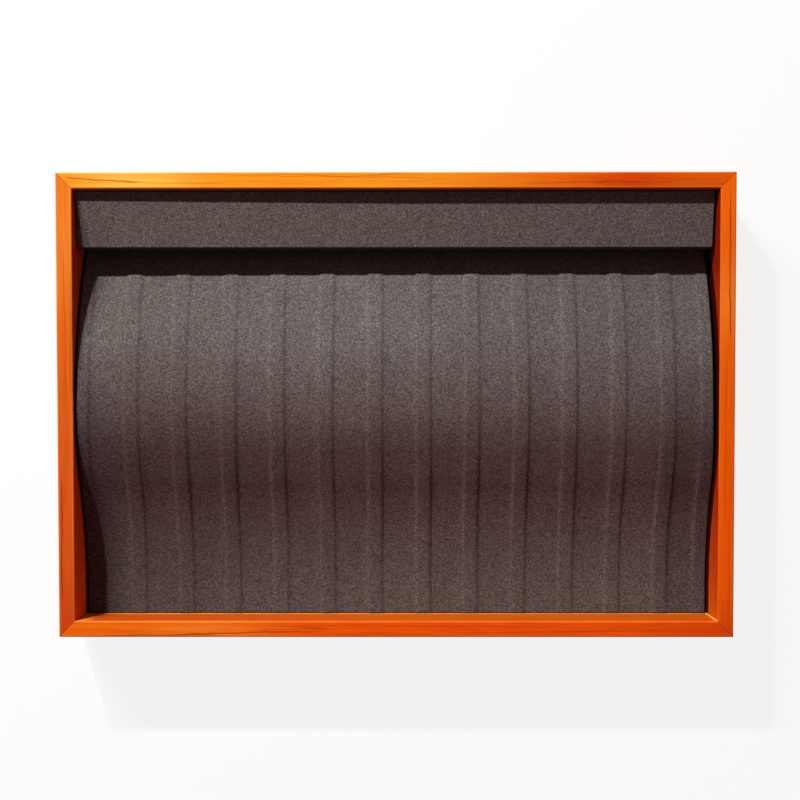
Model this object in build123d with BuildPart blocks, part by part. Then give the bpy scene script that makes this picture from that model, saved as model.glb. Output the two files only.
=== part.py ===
from build123d import *
import math
import os

os.makedirs("parts", exist_ok=True)

# Pendant display tray, in millimetres.
# +X is the long side, +Y is the rear, where the bar lies, and +Z is up.
# The origin is the centre of the tray on the table.

# Wooden frame
tray_length = 350.0
tray_width = 240.0
tray_height = 35.0
rail_thickness = 8.4
rim_radius = 0.8
foot_radius = 0.5
tongue_width = 6.0
tongue_thickness = 2.0
tongue_height = 18.0
tongue_lift = 9.0
tongue_clearance = 0.05

# Bottom board, let into grooves in the rails, with a felt lining below
board_lift = 2.5
board_thickness = 4.0
groove_depth = 4.0
groove_clearance = 0.1
board_clearance = 0.2
lining_thickness = 1.0
lining_clearance = 0.3

# Insert that drops into the frame
left_clearance = 0.8
right_clearance = 1.8
end_clearance = 0.5
base_thickness = 2.0
wave_board_thickness = 2.0
cover_thickness = 0.8
former_count = 5
former_thickness = 3.0
former_toe = 1.7
former_heel = 1.5

# Wave: two convex arcs that meet at the crest, and a hollow one down to the flat valley
crest_drop = 3.0
crest_to_rear = 114.1
front_crest_radius = 100.0
rear_crest_radius = 185.0
valley_flat = 14.1

# Strips under the cloth that raise the ridges between the lanes
lane_count = 13
strip_width = 6.7
end_strip_width = 5.0
left_ridge_in = 27.9
right_ridge_in = 23.5
ridge_height = 0.8

# Bar over the well, with a top that slopes down to the front
bar_width = 28.8
bar_rear_thickness = 10.4
bar_front_thickness = 6.7
bar_rear_drop = 4.5
bar_end_gap = 1.0
bar_edge_radius = 0.6
rest_length = 10.0
rest_gap = 0.6
magnet_length = 6.0
magnet_width = 10.0
magnet_thickness = 3.0
magnet_clearance = 0.05

# Strip of hooks in the well, one hook to a lane
hook_rail_thickness = 4.0
hook_wire = 1.4
hook_bend = 0.9
hook_reach = 7.0
hook_rise = 4.5
hook_drop = 6.5
hook_hold = 3.0
hook_clearance = 0.05

# Places worked out from the sizes above
opening_length = tray_length - 2 * rail_thickness
opening_width = tray_width - 2 * rail_thickness
board_top = board_lift + board_thickness
base_top = board_top + base_thickness
insert_length = opening_length - left_clearance - right_clearance
insert_shift = (left_clearance - right_clearance) / 2
insert_width = opening_width - 2 * end_clearance
insert_front = -insert_width / 2
insert_rear = insert_width / 2
bed_length = insert_length - 2 * cover_thickness
bed_front = insert_front + cover_thickness

crest_z = tray_height - crest_drop
valley_z = base_top + former_toe + wave_board_thickness + cover_thickness
crest_rise = crest_z - valley_z
crest_y = insert_rear - crest_to_rear
valley_y = insert_front + valley_flat
radius_sum = ((crest_y - valley_y) ** 2 + crest_rise**2) / (2 * crest_rise)
valley_radius = radius_sum - front_crest_radius
wave_angle = math.acos(1 - crest_rise / radius_sum)
front_crest_centre = (crest_y, crest_z - front_crest_radius)
rear_crest_centre = (crest_y, crest_z - rear_crest_radius)
valley_centre = (valley_y, valley_z + valley_radius)

# Each strip as its left and right edge. The end strips lie flush with the board's ends.
lane_pitch = (insert_length - left_ridge_in - right_ridge_in) / (lane_count - 2)
strips = [(-bed_length / 2, end_strip_width - bed_length / 2)]
for number in range(lane_count - 1):
    ridge_x = left_ridge_in - insert_length / 2 + lane_pitch * number
    strips.append((ridge_x - strip_width / 2, ridge_x + strip_width / 2))
strips.append((bed_length / 2 - end_strip_width, bed_length / 2))
lane_places = [(left[1] + right[0]) / 2 for left, right in zip(strips, strips[1:])]

bar_rear = insert_rear
bar_front = bar_rear - bar_width
bar_under = tray_height - bar_rear_drop - bar_rear_thickness
bar_length = opening_length - 2 * bar_end_gap
hook_rail_front = insert_rear - hook_rail_thickness
hook_z = bar_under - hook_drop

pieces = {}


# A rail is its section, run along one side and cut to the mitred plan of that side
def mitred_rail(outward, along, length, reach):
    inside = reach - rail_thickness
    with BuildPart() as rail:
        with BuildSketch(Plane((0, 0, 0), x_dir=outward, z_dir=along)) as section:
            with Locations((inside, 0)):
                Rectangle(rail_thickness, tray_height, align=Align.MIN)
            fillet(section.vertices().group_by(Axis.Y)[-1], radius=rim_radius)
            fillet(section.vertices().group_by(Axis.Y)[0], radius=foot_radius)
            with Locations((inside, board_lift - groove_clearance)):
                Rectangle(
                    groove_depth,
                    board_thickness + 2 * groove_clearance,
                    align=Align.MIN,
                    mode=Mode.SUBTRACT,
                )
        extrude(amount=length / 2, both=True)
        with BuildSketch(Plane((0, 0, 0), x_dir=along, z_dir=(0, 0, 1))):
            with BuildLine():
                Polyline(
                    (-length / 2, reach),
                    (length / 2, reach),
                    (length / 2 - rail_thickness, inside),
                    (rail_thickness - length / 2, inside),
                    close=True,
                )
            make_face()
        extrude(amount=tray_height, mode=Mode.INTERSECT)
        with BuildSketch(Plane((0, 0, tongue_lift - tongue_clearance), x_dir=along, z_dir=(0, 0, 1))):
            for side in (-1, 1):
                with Locations((side * (length - rail_thickness) / 2, reach - rail_thickness / 2)):
                    Rectangle(
                        tongue_width + 2 * tongue_clearance,
                        tongue_thickness + 2 * tongue_clearance,
                        rotation=-45 * side,
                    )
        extrude(amount=tongue_height + 2 * tongue_clearance, mode=Mode.SUBTRACT)
    return rail.part


pieces["rail_front"] = mitred_rail((0, -1, 0), (-1, 0, 0), tray_length, tray_width / 2)
pieces["rail_rear"] = mitred_rail((0, 1, 0), (1, 0, 0), tray_length, tray_width / 2)
pieces["rail_left"] = mitred_rail((-1, 0, 0), (0, 1, 0), tray_width, tray_length / 2)
pieces["rail_right"] = mitred_rail((1, 0, 0), (0, -1, 0), tray_width, tray_length / 2)

# Loose tongues, square across the mitres
for number, (x_side, y_side) in enumerate(((-1, -1), (1, -1), (1, 1), (-1, 1)), start=1):
    with BuildPart() as corner_tongue:
        with BuildSketch(Plane.XY.offset(tongue_lift)):
            with Locations(
                (x_side * (tray_length - rail_thickness) / 2, y_side * (tray_width - rail_thickness) / 2)
            ):
                Rectangle(tongue_width, tongue_thickness, rotation=-45 * x_side * y_side)
        extrude(amount=tongue_height)
    pieces[f"corner_tongue_{number}"] = corner_tongue.part

with BuildPart() as bottom_board:
    with BuildSketch(Plane.XY.offset(board_lift)):
        let_in = groove_depth - board_clearance
        Rectangle(opening_length + 2 * let_in, opening_width + 2 * let_in)
    extrude(amount=board_thickness)
pieces["bottom_board"] = bottom_board.part

with BuildPart() as base_lining:
    with BuildSketch(Plane.XY.offset(board_lift)):
        Rectangle(opening_length - 2 * lining_clearance, opening_width - 2 * lining_clearance)
    extrude(amount=-lining_thickness)
pieces["base_lining"] = base_lining.part
frame_pieces = list(pieces)

with BuildPart() as insert_base:
    with BuildSketch(Plane.XY.offset(board_top)):
        Rectangle(insert_length, insert_width)
    extrude(amount=base_thickness)
pieces["insert_base"] = insert_base.part


# Point on an arc of the wave, at an angle from straight up, turned towards the rear
def on_arc(centre, radius, angle):
    return (centre[0] + radius * math.sin(angle), centre[1] + radius * math.cos(angle))


# Line of the wave at a depth under the cloth's face, from the front edge to a height at the rear
def wave_line(depth, front_y, end_z):
    hollow = valley_radius + depth
    front = front_crest_radius - depth
    rear = rear_crest_radius - depth
    end_angle = math.acos((end_z - rear_crest_centre[1]) / rear)
    toe = (front_y, valley_z - depth)
    heel = on_arc(rear_crest_centre, rear, end_angle)
    valley = (valley_y, valley_z - depth)
    slope = on_arc(front_crest_centre, front, -wave_angle)
    crest = (crest_y, crest_z - depth)
    with BuildLine() as line:
        Line(toe, valley)
        ThreePointArc(valley, on_arc(valley_centre, hollow, math.pi - wave_angle / 2), slope)
        ThreePointArc(slope, on_arc(front_crest_centre, front, -wave_angle / 2), crest)
        ThreePointArc(crest, on_arc(rear_crest_centre, rear, end_angle / 2), heel)
    return line.line.edges(), toe, heel


# Closed outline between two depths, for what follows the wave
def wave_band(upper, lower, front_y):
    upper_edges, upper_toe, upper_heel = wave_line(upper, front_y, base_top)
    lower_edges, lower_toe, lower_heel = wave_line(lower, front_y, base_top)
    with BuildLine() as ends:
        Line(upper_toe, lower_toe)
        Line(upper_heel, lower_heel)
    return upper_edges + lower_edges + ends.line.edges()


# Closed outline from a depth down to the insert's base, for what stands on it
def wave_block(depth, front_y, end_z):
    edges, toe, heel = wave_line(depth, front_y, end_z)
    with BuildLine() as foot:
        Line(toe, (front_y, base_top))
        Line((front_y, base_top), (heel[0], base_top))
        if end_z > base_top:
            Line((heel[0], base_top), heel)
    return edges + foot.line.edges()


# Formers that carry the wave, the outer two flush with its sides
former_depth = cover_thickness + wave_board_thickness
former_step = (bed_length - former_thickness) / (former_count - 1)
for number in range(former_count):
    former_x = number * former_step - bed_length / 2
    with BuildPart() as former:
        with BuildSketch(Plane.YZ.offset(former_x)):
            make_face(wave_block(former_depth, bed_front, base_top + former_heel))
        extrude(amount=former_thickness)
    pieces[f"former_{number + 1}"] = former.part

with BuildPart() as wave_board:
    with BuildSketch(Plane.YZ):
        make_face(wave_band(cover_thickness, former_depth, bed_front))
    extrude(amount=bed_length / 2, both=True)
pieces["wave_board"] = wave_board.part

# Strips on the board that lift the cloth into ridges
for number, (left, right) in enumerate(strips, start=1):
    with BuildPart() as ridge_strip:
        with BuildSketch(Plane.YZ.offset(left)):
            make_face(wave_band(cover_thickness - ridge_height, cover_thickness, bed_front))
        extrude(amount=right - left)
    pieces[f"ridge_strip_{number}"] = ridge_strip.part

# Suede cloth, drawn over the board and the strips and down the sides to the base
with BuildPart() as bed_cover:
    with BuildSketch(Plane.YZ):
        make_face(wave_block(0, insert_front, base_top))
    extrude(amount=insert_length / 2, both=True)
    for left, right in strips:
        with BuildSketch(Plane.YZ.offset(left - cover_thickness)):
            make_face(wave_band(-ridge_height, cover_thickness / 2, insert_front))
        extrude(amount=right - left + 2 * cover_thickness)
    with BuildSketch(Plane.YZ):
        make_face(wave_block(cover_thickness, bed_front, base_top))
    extrude(amount=bed_length / 2, both=True, mode=Mode.SUBTRACT)
    for ridge_strip_piece in [pieces[f"ridge_strip_{number + 1}"] for number in range(lane_count + 1)]:
        add(ridge_strip_piece, mode=Mode.SUBTRACT)
pieces["bed_cover"] = bed_cover.part

# Strip of hooks along the rear of the well
with BuildPart() as hook_rail:
    with BuildSketch(Plane.XY.offset(base_top)):
        with Locations((0, hook_rail_front)):
            Rectangle(insert_length, hook_rail_thickness, align=(Align.CENTER, Align.MIN))
    extrude(amount=bar_under - base_top)
    with BuildSketch(Plane((0, hook_rail_front, hook_z), x_dir=(-1, 0, 0), z_dir=(0, 1, 0))):
        with Locations(*[(-lane_x, 0) for lane_x in lane_places]):
            Rectangle(hook_wire + 2 * hook_clearance, hook_wire + 2 * hook_clearance)
    extrude(amount=hook_hold + hook_clearance, mode=Mode.SUBTRACT)
pieces["hook_rail"] = hook_rail.part

# Hooks of square wire, each with its outer corner bent
for number, lane_x in enumerate(lane_places, start=1):
    with BuildPart() as hook:
        with BuildSketch(Plane.YZ.offset(lane_x)) as wire:
            with Locations((hook_rail_front - hook_reach, hook_z - hook_wire / 2)):
                Rectangle(hook_reach + hook_hold, hook_wire, align=Align.MIN)
                Rectangle(hook_wire, hook_wire + hook_rise, align=Align.MIN)
            outer_corner = wire.vertices().sort_by(lambda vertex: vertex.X + vertex.Y)[0]
            chamfer(outer_corner, length=hook_bend)
        extrude(amount=hook_wire / 2, both=True)
    pieces[f"hook_{number}"] = hook.part

# Floor of the well and the blocks at its ends that carry the bar
well_front = wave_line(-ridge_height, insert_front, base_top)[2][0] + rest_gap
well_depth = hook_rail_front - well_front
well_length = bed_length - 2 * rest_length
magnet_x = (well_length + rest_length) / 2
magnet_y = well_front + well_depth / 2

with BuildPart() as well_lining:
    with BuildSketch(Plane.XY.offset(base_top)):
        with Locations((0, well_front)):
            Rectangle(well_length, well_depth, align=(Align.CENTER, Align.MIN))
    extrude(amount=cover_thickness)
pieces["well_lining"] = well_lining.part

# Bar: its outline, a wooden core inside the cloth
with BuildSketch(Plane.YZ) as bar_outline:
    with BuildLine():
        Polyline(
            (bar_front, bar_under),
            (bar_rear, bar_under),
            (bar_rear, bar_under + bar_rear_thickness),
            (bar_front, bar_under + bar_front_thickness),
            close=True,
        )
    make_face()

with BuildSketch(Plane.YZ) as core_outline:
    add(bar_outline.sketch_local)
    offset(amount=-cover_thickness, mode=Mode.REPLACE)

with BuildPart() as bar_core:
    extrude(core_outline.sketch, amount=bar_length / 2 - cover_thickness, both=True)
    with BuildSketch(Plane.XY.offset(bar_under + cover_thickness)):
        with Locations((-magnet_x, magnet_y), (magnet_x, magnet_y)):
            Rectangle(magnet_length + 2 * magnet_clearance, magnet_width + 2 * magnet_clearance)
    extrude(amount=magnet_thickness, mode=Mode.SUBTRACT)
pieces["bar_core"] = bar_core.part

with BuildPart() as bar_cover:
    extrude(bar_outline.sketch, amount=bar_length / 2, both=True)
    fillet(bar_cover.edges().filter_by(Axis.X), radius=bar_edge_radius)
    extrude(
        core_outline.sketch,
        amount=bar_length / 2 - cover_thickness,
        both=True,
        mode=Mode.SUBTRACT,
    )
pieces["bar_cover"] = bar_cover.part

for side_name, side in (("left", -1), ("right", 1)):
    with BuildPart() as bar_rest:
        with BuildSketch(Plane.XY.offset(base_top)):
            with Locations((side * magnet_x, well_front)):
                Rectangle(rest_length, well_depth, align=(Align.CENTER, Align.MIN))
        extrude(amount=bar_under - base_top)
        with BuildSketch(Plane.XY.offset(bar_under)):
            with Locations((side * magnet_x, magnet_y)):
                Rectangle(magnet_length + 2 * magnet_clearance, magnet_width + 2 * magnet_clearance)
        extrude(amount=-magnet_thickness, mode=Mode.SUBTRACT)
    pieces[f"bar_rest_{side_name}"] = bar_rest.part
    with BuildPart() as rest_magnet:
        with BuildSketch(Plane.XY.offset(bar_under)):
            with Locations((side * magnet_x, magnet_y)):
                Rectangle(magnet_length, magnet_width)
        extrude(amount=-magnet_thickness)
    pieces[f"rest_magnet_{side_name}"] = rest_magnet.part
    with BuildPart() as bar_magnet:
        with BuildSketch(Plane.XY.offset(bar_under + cover_thickness)):
            with Locations((side * magnet_x, magnet_y)):
                Rectangle(magnet_length, magnet_width)
        extrude(amount=magnet_thickness)
    pieces[f"bar_magnet_{side_name}"] = bar_magnet.part

# The insert and its bar lie against the left rail, with their play on the right
for name, piece in pieces.items():
    if name not in frame_pieces:
        piece = piece.moved(Location((insert_shift, 0, 0)))
    piece.label = name
    export_step(piece, f"parts/{name}.step")
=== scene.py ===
import math

import bpy
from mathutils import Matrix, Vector


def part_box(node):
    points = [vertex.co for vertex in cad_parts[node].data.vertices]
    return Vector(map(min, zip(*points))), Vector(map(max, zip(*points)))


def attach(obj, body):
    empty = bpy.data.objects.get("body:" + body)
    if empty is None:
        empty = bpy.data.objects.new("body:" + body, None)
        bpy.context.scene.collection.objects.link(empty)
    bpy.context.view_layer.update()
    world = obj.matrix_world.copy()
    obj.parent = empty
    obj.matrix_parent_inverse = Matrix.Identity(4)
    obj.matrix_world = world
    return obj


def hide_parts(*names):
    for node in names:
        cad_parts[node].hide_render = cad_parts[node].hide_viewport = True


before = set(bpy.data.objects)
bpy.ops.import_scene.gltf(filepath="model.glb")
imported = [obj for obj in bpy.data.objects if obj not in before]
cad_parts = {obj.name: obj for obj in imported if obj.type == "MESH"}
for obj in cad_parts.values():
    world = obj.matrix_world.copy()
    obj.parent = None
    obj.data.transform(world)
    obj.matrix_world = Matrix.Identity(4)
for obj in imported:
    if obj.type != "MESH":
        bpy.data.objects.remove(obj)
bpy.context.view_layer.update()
print("frame loaded,", len(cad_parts), "nodes")

scene = bpy.context.scene
scene.view_settings.view_transform = "Standard"


# Camera, above the tray and a little tilted, set from the four corners of the rim
cameraSetup = {
    "place": (0.0042, -0.0021, 0.6022),
    "turn": (-1.567, 0.202, -0.029),  # degrees
    "focalPixels": 1099.0,
    "imagePixels": 800.0,
    "centreBelowMiddle": 40.0,  # pixels
    "sensor": 36.0,
    "nearest": 0.01,
}


def makeCamera(setup):
    data = bpy.data.cameras.new("camera")
    data.sensor_width = setup["sensor"]
    data.lens = setup["focalPixels"] * setup["sensor"] / setup["imagePixels"]
    data.shift_y = setup["centreBelowMiddle"] / setup["imagePixels"]
    data.clip_start = setup["nearest"]
    camera = bpy.data.objects.new("camera", data)
    camera.location = setup["place"]
    camera.rotation_euler = [math.radians(angle) for angle in setup["turn"]]
    scene.collection.objects.link(camera)
    scene.camera = camera


makeCamera(cameraSetup)


# A long narrow lamp behind the tray and to the left, a short strong one over its right
# end, and a weak warm fill all round
lightSetup = {
    "aim": (0.0, 0.0, 0.02),
    "colour": (1.0, 0.985, 0.96),
    "height": 0.05,
    "lamps": {
        "keyStrip": {"place": (-0.812, 1.16, 0.79), "length": 0.555, "power": 28.0},
        "keyEnd": {"place": (-0.554, 1.16, 0.79), "length": 0.053, "power": 17.5},
    },
    "fill": 0.18,
    "fillColour": (1.0, 0.62, 0.56),
    "background": (1.0, 1.0, 1.0),
}


def seenDirectly(tree):
    # 1 for camera, glossy and transmission rays, which see the plain white background
    path = tree.nodes.new("ShaderNodeLightPath")
    anyGlossy = tree.nodes.new("ShaderNodeMath")
    anyGlossy.operation = "MAXIMUM"
    anyDirect = tree.nodes.new("ShaderNodeMath")
    anyDirect.operation = "MAXIMUM"
    tree.links.new(path.outputs["Is Glossy Ray"], anyGlossy.inputs[0])
    tree.links.new(path.outputs["Is Transmission Ray"], anyGlossy.inputs[1])
    tree.links.new(path.outputs["Is Camera Ray"], anyDirect.inputs[0])
    tree.links.new(anyGlossy.outputs[0], anyDirect.inputs[1])
    return anyDirect.outputs[0]


def makeLight(setup):
    for name, lampSetup in setup["lamps"].items():
        data = bpy.data.lights.new(name, "AREA")
        data.shape = "RECTANGLE"
        data.size = lampSetup["length"]
        data.size_y = setup["height"]
        data.energy = lampSetup["power"]
        data.color = setup["colour"]
        lamp = bpy.data.objects.new(name, data)
        lamp.location = lampSetup["place"]
        # Turned about X alone, so that its long side stays parallel to the tray's
        drop = Vector(setup["aim"]) - Vector(lampSetup["place"])
        lamp.rotation_euler = (math.atan2(drop.y, -drop.z), 0, 0)
        scene.collection.objects.link(lamp)

    world = bpy.data.worlds.new("room")
    scene.world = world
    world.use_nodes = True
    tree = world.node_tree
    tree.nodes.clear()
    fill = tree.nodes.new("ShaderNodeBackground")
    fill.inputs["Color"].default_value = (*setup["fillColour"], 1)
    fill.inputs["Strength"].default_value = setup["fill"]
    seen = tree.nodes.new("ShaderNodeBackground")
    seen.inputs["Color"].default_value = (*setup["background"], 1)
    mix = tree.nodes.new("ShaderNodeMixShader")
    out = tree.nodes.new("ShaderNodeOutputWorld")
    tree.links.new(seenDirectly(tree), mix.inputs[0])
    tree.links.new(fill.outputs[0], mix.inputs[1])
    tree.links.new(seen.outputs[0], mix.inputs[2])
    tree.links.new(mix.outputs[0], out.inputs["Surface"])


makeLight(lightSetup)


# White floor: near full white where the camera looks at it, with the tray's shadow kept
floorSetup = {"size": 8.0, "colour": (0.9, 0.9, 0.9), "glow": 0.86}


def makeFloor(setup):
    bpy.ops.object.select_all(action="DESELECT")
    bpy.ops.mesh.primitive_plane_add(size=setup["size"])
    floor = bpy.context.object
    floor.name = "floor"
    material = bpy.data.materials.new("floorWhite")
    material.use_nodes = True
    tree = material.node_tree
    tree.nodes.clear()
    matt = tree.nodes.new("ShaderNodeBsdfDiffuse")
    matt.inputs["Color"].default_value = (*setup["colour"], 1)
    glow = tree.nodes.new("ShaderNodeEmission")
    share = tree.nodes.new("ShaderNodeMath")
    share.operation = "MULTIPLY"
    share.inputs[1].default_value = setup["glow"]
    mix = tree.nodes.new("ShaderNodeMixShader")
    out = tree.nodes.new("ShaderNodeOutputMaterial")
    tree.links.new(seenDirectly(tree), share.inputs[0])
    tree.links.new(share.outputs[0], mix.inputs[0])
    tree.links.new(matt.outputs[0], mix.inputs[1])
    tree.links.new(glow.outputs[0], mix.inputs[2])
    tree.links.new(mix.outputs[0], out.inputs["Surface"])
    floor.data.materials.append(material)


makeFloor(floorSetup)
print("camera, light and floor made")


# Helpers for the node groups
def newGroup(name, inputs, outputs):
    group = bpy.data.node_groups.new(name, "ShaderNodeTree")
    for label, kind, value in inputs:
        socket = group.interface.new_socket(label, in_out="INPUT", socket_type=kind)
        if value is not None:
            socket.default_value = value
    for label, kind in outputs:
        group.interface.new_socket(label, in_out="OUTPUT", socket_type=kind)
    return group, group.nodes.new("NodeGroupInput"), group.nodes.new("NodeGroupOutput")


def addMath(tree, operation, first, second=None, third=None):
    node = tree.nodes.new("ShaderNodeMath")
    node.operation = operation
    for index, value in enumerate((first, second, third)):
        if value is None:
            continue
        if isinstance(value, (int, float)):
            node.inputs[index].default_value = value
        else:
            tree.links.new(value, node.inputs[index])
    return node.outputs[0]


def addMapping(tree, vector, scale, turn=(0, 0, 0)):
    node = tree.nodes.new("ShaderNodeMapping")
    node.inputs["Scale"].default_value = scale
    node.inputs["Rotation"].default_value = turn
    tree.links.new(vector, node.inputs["Vector"])
    return node.outputs[0]


def addSplit(tree, vector):
    node = tree.nodes.new("ShaderNodeSeparateXYZ")
    tree.links.new(vector, node.inputs[0])
    return node.outputs


def addGroup(tree, group, values):
    node = tree.nodes.new("ShaderNodeGroup")
    node.node_tree = group
    for label, value in values.items():
        if isinstance(value, (int, float)):
            node.inputs[label].default_value = value
        else:
            tree.links.new(value, node.inputs[label])
    return node.outputs


def addNoise(tree, vector, scale, detail=2.0, roughness=0.5, distortion=0.0):
    node = tree.nodes.new("ShaderNodeTexNoise")
    node.inputs["Scale"].default_value = scale
    node.inputs["Detail"].default_value = detail
    node.inputs["Roughness"].default_value = roughness
    node.inputs["Distortion"].default_value = distortion
    tree.links.new(vector, node.inputs["Vector"])
    return node.outputs["Fac"]


def addStretched(tree, vector, stretch, detail, roughness=0.5):
    return addNoise(tree, addMapping(tree, vector, stretch), 1.0, detail, roughness)


def addRange(tree, value, fromLow, fromHigh, toLow=0.0, toHigh=1.0, smooth=True):
    node = tree.nodes.new("ShaderNodeMapRange")
    node.interpolation_type = "SMOOTHSTEP" if smooth else "LINEAR"
    tree.links.new(value, node.inputs["Value"])
    for label, number in (
        ("From Min", fromLow),
        ("From Max", fromHigh),
        ("To Min", toLow),
        ("To Max", toHigh),
    ):
        node.inputs[label].default_value = number
    return node.outputs["Result"]


def addMix(tree, factor, first, second, blend="MIX"):
    node = tree.nodes.new("ShaderNodeMix")
    node.data_type = "RGBA"
    node.blend_type = blend
    for index, value in ((0, factor), (6, first), (7, second)):
        socket = node.inputs[index]
        if isinstance(value, (int, float)):
            socket.default_value = value
        elif isinstance(value, tuple):
            socket.default_value = (*value, 1)
        else:
            tree.links.new(value, socket)
    return node.outputs[2]


def addRamp(tree, factor, stops):
    node = tree.nodes.new("ShaderNodeValToRGB")
    ramp = node.color_ramp
    while len(ramp.elements) < len(stops):
        ramp.elements.new(0.5)
    for element, (place, colour) in zip(ramp.elements, stops):
        element.position = place
        element.color = (*colour, 1)
    tree.links.new(factor, node.inputs["Fac"])
    return node.outputs["Color"]


def addScaled(tree, value, factor):
    return addMath(tree, "MULTIPLY", value, factor)


def addShade(tree, colour, shade):
    return addMix(tree, 1.0, colour, shade, "MULTIPLY")


def addDistance(tree, value, place):
    return addMath(tree, "ABSOLUTE", addMath(tree, "SUBTRACT", value, place))


def fromScreen(red, green, blue):
    # A colour written as 0 to 255 on a screen, as linear light
    def linear(value):
        share = value / 255
        return share / 12.92 if share <= 0.04045 else ((share + 0.055) / 1.055) ** 2.4

    return (linear(red), linear(green), linear(blue))


def newMaterial(name):
    material = bpy.data.materials.new(name)
    material.use_nodes = True
    tree = material.node_tree
    shader = tree.nodes["Principled BSDF"]
    place = tree.nodes.new("ShaderNodeTexCoord")
    return material, tree, shader, place.outputs["Object"]


def addBump(tree, shader, height, distance, strength=1.0):
    node = tree.nodes.new("ShaderNodeBump")
    node.inputs["Distance"].default_value = distance
    node.inputs["Strength"].default_value = strength
    tree.links.new(height, node.inputs["Height"])
    tree.links.new(node.outputs["Normal"], shader.inputs["Normal"])


# Grain: fine pores along X, a few long dark lines, and a slow change of tone. Each noise has
# its waves to the metre along X, Y and Z, its detail and its roughness.
grainSizes = {
    "bend": ((9, 30, 30), 1.0),
    "bendReach": (0, 0.012, 0.012),  # metres
    "pores": ((40, 1500, 1500), 3.0, 0.6),
    "poreRange": (0.35, 0.7),
    "streaks": ((6, 330, 330), 3.0, 0.55),
    "streakShare": 0.6,
    "lines": ((2.6, 210, 210), 1.0, 0.4),
    "lineWidth": 0.022,
    "breaks": ((11, 60, 60), 2.0),
    "breakRange": (0.45, 0.6),
    "tone": ((14, 70, 70), 2.0),
}


def makeGrainGroup(sizes):
    group, inside, outside = newGroup(
        "woodGrain",
        [("Vector", "NodeSocketVector", None), ("Line Share", "NodeSocketFloat", 0.5)],
        [
            ("Pores", "NodeSocketFloat"),
            ("Lines", "NodeSocketFloat"),
            ("Tone", "NodeSocketFloat"),
            ("Height", "NodeSocketFloat"),
        ],
    )
    vector = inside.outputs["Vector"]
    bend = addStretched(group, vector, *sizes["bend"])
    wander = group.nodes.new("ShaderNodeVectorMath")
    wander.operation = "MULTIPLY_ADD"
    spread = group.nodes.new("ShaderNodeCombineXYZ")
    group.links.new(bend, spread.inputs["Y"])
    group.links.new(bend, spread.inputs["Z"])
    group.links.new(spread.outputs[0], wander.inputs[0])
    wander.inputs[1].default_value = sizes["bendReach"]
    group.links.new(vector, wander.inputs[2])
    bent = wander.outputs[0]
    pores = addStretched(group, bent, *sizes["pores"])
    streaks = addStretched(group, bent, *sizes["streaks"])
    lines = addStretched(group, bent, *sizes["lines"])
    thin = addRange(group, addDistance(group, lines, 0.5), 0.0, sizes["lineWidth"], 1.0, 0.0)
    breaks = addStretched(group, vector, *sizes["breaks"])
    broken = addMath(group, "MULTIPLY", thin, addRange(group, breaks, *sizes["breakRange"]))
    share = addMath(group, "MULTIPLY", broken, inside.outputs["Line Share"])
    tone = addStretched(group, vector, *sizes["tone"])
    slow = addScaled(group, tone, 1 - sizes["streakShare"])
    mixed = addMath(group, "MULTIPLY_ADD", streaks, sizes["streakShare"], slow)
    group.links.new(addRange(group, pores, *sizes["poreRange"]), outside.inputs["Pores"])
    group.links.new(share, outside.inputs["Lines"])
    group.links.new(mixed, outside.inputs["Tone"])
    group.links.new(addMath(group, "SUBTRACT", pores, share), outside.inputs["Height"])
    return group


grainGroup = makeGrainGroup(grainSizes)


# Rail arrises, for wear and painted light: 1 along its two upper edges, broken up by noise
arrisMaskSizes = {
    "width": 0.0084,
    "reach": 0.0014,
    "solid": 0.25,  # of the reach
    "noise": (60.0, 3.0),
    "noiseRange": (0.3, 0.6),
    "patches": (0.45, 1.0),
}


def makeArrisMaskGroup(sizes):
    group, inside, outside = newGroup(
        "arrisMask",
        [
            ("Vector", "NodeSocketVector", None),
            ("Outward", "NodeSocketFloat", 0.0),
            ("Drop", "NodeSocketFloat", 0.0),
            ("Width", "NodeSocketFloat", sizes["width"]),
            ("Reach", "NodeSocketFloat", sizes["reach"]),
        ],
        [("Inner", "NodeSocketFloat"), ("Outer", "NodeSocketFloat")],
    )
    patches = addNoise(group, inside.outputs["Vector"], *sizes["noise"])
    patchy = addRange(group, patches, *sizes["noiseRange"], *sizes["patches"])
    outward = inside.outputs["Outward"]
    dropSquare = addMath(group, "POWER", inside.outputs["Drop"], 2.0)
    for label, across in (
        ("Inner", outward),
        ("Outer", addMath(group, "SUBTRACT", inside.outputs["Width"], outward)),
    ):
        squares = addMath(group, "MULTIPLY_ADD", across, across, dropSquare)
        away = addMath(group, "DIVIDE", addMath(group, "SQRT", squares), inside.outputs["Reach"])
        near = addRange(group, away, sizes["solid"], 1.0, 1.0, 0.0)
        group.links.new(addMath(group, "MULTIPLY", near, patchy), outside.inputs[label])
    return group


arrisMaskGroup = makeArrisMaskGroup(arrisMaskSizes)


# One dark line of grain, drawn from a start to an end and tapered at both
darkLineSizes = {
    "width": 0.0005,
    "solid": 0.3,  # of the width
    "noise": (90.0, 2.0),
    "wobble": 0.0016,
    "taperIn": 0.12,  # of the length
    "taperOut": 0.8,
}


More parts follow.
